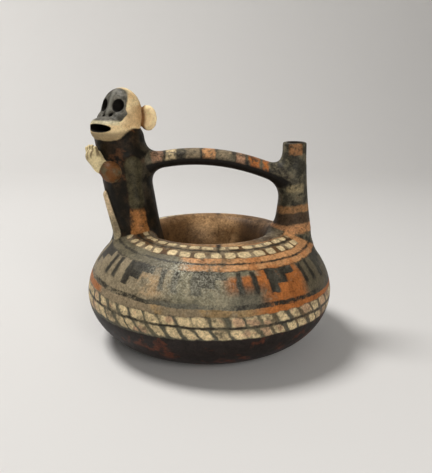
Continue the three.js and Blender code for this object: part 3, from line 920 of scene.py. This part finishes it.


def paintBridge(brush, place, colour):
    x, y, z = brush.split(place)
    along = x + (brush.noise(place, 8, 2, 0.5, 61) - 0.5) * 6
    top = brush.mix(brush.fade(brush.noise(place, 6, 4, 0.65, 63), 0.42, 0.6), slipAndLight["dark"], bridgeGreen)
    left = 1 - brush.fade(brush.noise(place, 3.5, 4, 0.7, 65), 0.46, 0.62) * 0.85
    for middle, half, name in bridgeSpots:
        top = brush.mix(brush.band(along, middle, half, 1.0) * left, top, slipAndLight[name])
    share = (x - bridgeShadeEdge["from"]) / bridgeShadeEdge["long"]
    edge = bridgeForm["atMonkey"] - share * bridgeShadeEdge["fall"] + share * (1 - share) * bridgeShadeEdge["arch"]
    # painted shade: below that line the bridge's underside is painted black
    bridge = brush.mix(brush.fade(z - edge, -1.0, 1.2), slipAndLight["shadeBlack"], top)
    return brush.mix(brush.fade(brush.kept("onBridge"), -1, 1), colour, bridge)


# The monkey's paint

# the monkey's colours; some of them are painted shade and one a painted highlight
monkeySlipAndLight = {
    "body": (0.009, 0.007, 0.004), "bodyBrown": (0.03, 0.018, 0.009), "bodyRed": (0.10, 0.042, 0.017),
    "back": (0.06, 0.05, 0.032), "arm": (0.034, 0.028, 0.015), "armPale": (0.075, 0.062, 0.032),
    "foot": (0.36, 0.15, 0.045), "leg": (0.34, 0.28, 0.17), "legPaleLit": (0.62, 0.47, 0.29),
    "hand": (0.78, 0.64, 0.36), "handWorn": (0.46, 0.36, 0.20),
    "elbow": (0.15, 0.062, 0.02), "elbowWorn": (0.13, 0.10, 0.055), "fingerLine": (0.12, 0.08, 0.04),
    "head": (0.94, 0.72, 0.40), "headWorn": (0.72, 0.49, 0.24), "headShade": (0.34, 0.18, 0.075),
    "mask": (0.055, 0.05, 0.038), "maskPale": (0.19, 0.175, 0.14), "ridge": (0.26, 0.25, 0.21),
    "lip": (0.60, 0.53, 0.34), "lipPale": (0.86, 0.76, 0.50),
    "chin": (0.15, 0.105, 0.055), "chinPale": (0.30, 0.22, 0.12), "ear": (0.98, 0.74, 0.42), "earRootShade": (0.20, 0.095, 0.035),
}
maskPlan = {  # its half width, half height and squareness, each for the brow and for the jaw
    "rise": 3.0, "half": 12.6, "lowerHalf": 13.7, "high": 14.2, "lowerHigh": 8.8, "power": 2.3, "lowerPower": 5.3,
}


def paintBody(brush, place, patch):
    x, y, z = brush.split(place)
    paint = monkeySlipAndLight
    redPatch = brush.fade(brush.noise(place, 12, 4, 0.65, 72), 0.54, 0.64) * brush.fade(z, 100, 125) * 0.75
    backPatch = brush.fade(x, -50, -44) * brush.fade(z, 95, 120) * brush.fade(patch, 0.40, 0.55) * 0.7
    body = brush.mix(brush.fade(patch, 0.42, 0.64), paint["body"], paint["bodyBrown"])
    body = brush.mix(redPatch, body, paint["bodyRed"])
    body = brush.mix(backPatch, body, paint["back"])

    def limb(name, soft, under, colour):
        return brush.mix(brush.fade(brush.kept(name), 0.0, soft), under, colour)

    def patched(low, high, colour, other):
        return brush.mix(brush.fade(patch, low, high), colour, other)

    body = limb("hangingArm", 1.4, body, patched(0.38, 0.6, paint["arm"], paint["armPale"]))
    foot = brush.fade(brush.kept("leftLeg") + patch * 3, 1.8, 3.0) * brush.drop(z, 95, 99)
    footWorn = brush.fade(brush.noise(place, 5, 4, 0.6, 77), 0.46, 0.64)
    body = brush.mix(foot, body, brush.mix(footWorn, paint["foot"], slipAndLight["brown"]))
    leg = patched(0.4, 0.65, paint["leg"], slipAndLight["tan"])
    # the leg's upper part is pale cream paint that also carries a painted highlight
    body = limb("rightLeg", 1.0, body, brush.mix(brush.fade(z, 86, 98), leg, paint["legPaleLit"]))
    body = limb("raisedArm", 0.8, body, patched(0.5, 0.7, paint["hand"], paint["handWorn"]))
    return limb("elbow", 0.8, body, patched(0.45, 0.65, paint["elbow"], paint["elbowWorn"]))


def fingerLines(brush, place):
    fromPalm = [value - float(middle) for value, middle in zip(brush.split(place), onPost(*armForm["palm"]))]

    def along(axis):
        x, y, z = [value * float(share) for value, share in zip(fromPalm, axis)]
        return x + y + z

    reach, across = handAxes()
    finger = along(across) / armForm["fingerGap"]
    between = abs(brush.math("FRACT", finger + 0.5) - 0.5)
    onHand = brush.fade(along(reach), -1.5, 1.5) * brush.fade(brush.kept("raisedArm"), 0.5, 2)
    return brush.drop(between, 0.08, 0.24) * onHand


def faceMask(brush, place, forward, left, up):
    plan = maskPlan
    lower = brush.drop(up, 0, 4)
    power = lower * (plan["lowerPower"] - plan["power"]) + plan["power"]
    across = left / (lower * (plan["lowerHalf"] - plan["half"]) + plan["half"])
    rise = (up - plan["rise"]) / (lower * (plan["lowerHigh"] - plan["high"]) + plan["high"])
    uneven = (brush.noise(place, 5, 3, 0.6, 75) - 0.5) * 0.10
    bulge = abs(across) ** power + abs(rise) ** power + uneven
    return brush.drop(bulge, 0.94, 1.04) * brush.fade(forward, -1, 1)


def paintHead(brush, place, patch):
    paint = monkeySlipAndLight
    grain = brush.noise(place, 2.0, 4, 0.7, 73)
    turn = math.radians(headForm["turnDeg"])
    fromMiddle = [value - float(middle) for value, middle in zip(brush.split(place), headMiddle())]
    hx, hy, up = fromMiddle
    forward = hx * -math.sin(turn) - hy * math.cos(turn)
    left = hx * math.cos(turn) - hy * math.sin(turn)

    head = brush.mix(brush.fade(patch, 0.46, 0.68), paint["head"], paint["headWorn"])
    # painted shade on the side of the head next to the ear
    shadeNearEar = brush.fade(abs(left) + patch * 3, 14.2, 16.8) * brush.drop(up, 4, 10)
    head = brush.mix(shadeNearEar * 0.7, head, paint["headShade"])
    tone = brush.fade(patch * 0.5 + grain * 0.5, 0.40, 0.62)
    ridge = brush.band(left, 0, 1.4, 1.2) * brush.fade(up, -1, 2) * 0.6
    maskColour = brush.mix(ridge, brush.mix(tone, paint["mask"], paint["maskPale"]), paint["ridge"])
    head = brush.mix(faceMask(brush, place, forward, left, up), head, maskColour)
    lip = brush.band(up, -5.2, 1.4, 0.8) * brush.fade(forward, 12, 15) * 0.7
    head = brush.mix(lip, head, brush.mix(brush.fade(grain, 0.4, 0.6), paint["lip"], paint["lipPale"]))
    # the lower jaw's tan, made darker as painted shade under the head
    chin = brush.drop(up, -13, -9) * brush.fade(forward, 4, 10) * 0.75
    head = brush.mix(chin, head, brush.mix(brush.fade(patch, 0.4, 0.6), paint["chin"], paint["chinPale"]))
    # painted shade: the eye, nostril and mouth pits are painted black as the dark of these hollows
    for name, edge in (("eye", 0.1), ("nostril", 0.1), ("mouth", 0.3)):
        head = brush.mix(brush.drop(brush.kept(name), edge, 0.8), head, slipAndLight["shadeBlack"])
    # painted shade: the ear's base beside the head is brown
    ear = brush.mix(brush.fade(abs(left), 15.5, 19.0), paint["earRootShade"], paint["ear"])
    return brush.mix(brush.fade(brush.kept("onEar"), -0.5, 0.5), head, ear)


def paintMonkey(brush, place, colour):
    patch = brush.noise(place, 8, 4, 0.6, 71)
    body = paintBody(brush, place, patch)
    colour = brush.mix(brush.fade(brush.kept("onMonkey"), -1.5, 0.5), colour, body)
    colour = brush.mix(fingerLines(brush, place) * 0.8, colour, monkeySlipAndLight["fingerLine"])
    jaw = brush.kept("onHead") + (patch - 0.5) * 2
    return brush.mix(brush.fade(jaw, -0.6, 0.8), colour, paintHead(brush, place, patch))


# The clay under and over the paint

clay = {
    "specular": 0.14, "roughness": 0.34, "roughnessRange": 0.34, "pitRoughness": 0.95,
    "fineLight": 2.6, "mottleLight": 1.6, "evenLight": 2.06, "smoothing": 0.55,
    "speck": (0.3, 0.27, 0.24), "speckShare": 0.7, "insideShade": (0.018, 0.011, 0.007),
    "bump": 0.35, "bumpDepth": 0.4, "fineBump": 0.4, "mottleBump": 0.6,
}


def buildPaintedClay():
    material = bpy.data.materials.new("paintedClay")
    material.use_nodes = True
    tree = material.node_tree
    shader = tree.nodes["Principled BSDF"]
    brush = Brush(tree)
    place = brush.place()
    colour = paintRing(brush, place)
    colour = paintSpout(brush, place, colour)
    colour = paintMonkey(brush, place, colour)
    colour = paintBridge(brush, place, colour)

    fine = brush.noise(place, 1.3, 3, 0.8, 81)
    mottle = brush.noise(place, 5, 4, 0.65, 83)
    smoothHead, smoothHand = brush.fade(brush.kept("onHead"), -0.6, 0.8), brush.fade(brush.kept("raisedArm"), 0, 0.8)
    smooth = brush.either(smoothHead, smoothHand)
    light = fine * clay["fineLight"] + mottle * clay["mottleLight"] - clay["evenLight"]
    colour = brush.shade(colour, light * (1 - smooth * clay["smoothing"]) + 1)
    specks = brush.fade(brush.noise(place, 2.0, 2, 0.6, 85), 0.68, 0.74)
    colour = brush.tint(specks * clay["speckShare"], colour, clay["speck"])
    # painted shade: the walls of the hollows, seen down the spout, are near black
    colour = brush.mix(brush.drop(brush.kept("inside"), 0.3, 1.2), colour, clay["insideShade"])
    brush.put(shader.inputs["Base Color"], colour)

    shader.inputs["Specular IOR Level"].default_value = clay["specular"]
    rough = brush.noise(place, 4, 4, 0.6, 87) * clay["roughnessRange"] + clay["roughness"]
    pits = brush.either(*[brush.drop(brush.kept(name), 0, 1) for name in ("eye", "nostril", "mouth")])
    brush.put(shader.inputs["Roughness"], brush.either(rough, pits * clay["pitRoughness"]))
    bump = tree.nodes.new("ShaderNodeBump")
    bump.inputs["Strength"].default_value = clay["bump"]
    bump.inputs["Distance"].default_value = clay["bumpDepth"] * mm
    brush.put(bump.inputs["Height"], fine * clay["fineBump"] + mottle * clay["mottleBump"])
    tree.links.new(bump.outputs["Normal"], shader.inputs["Normal"])
    return material


vase.data.materials.clear()
vase.data.materials.append(buildPaintedClay())
print("vase is painted")

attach(vase, "root")
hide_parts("vase")
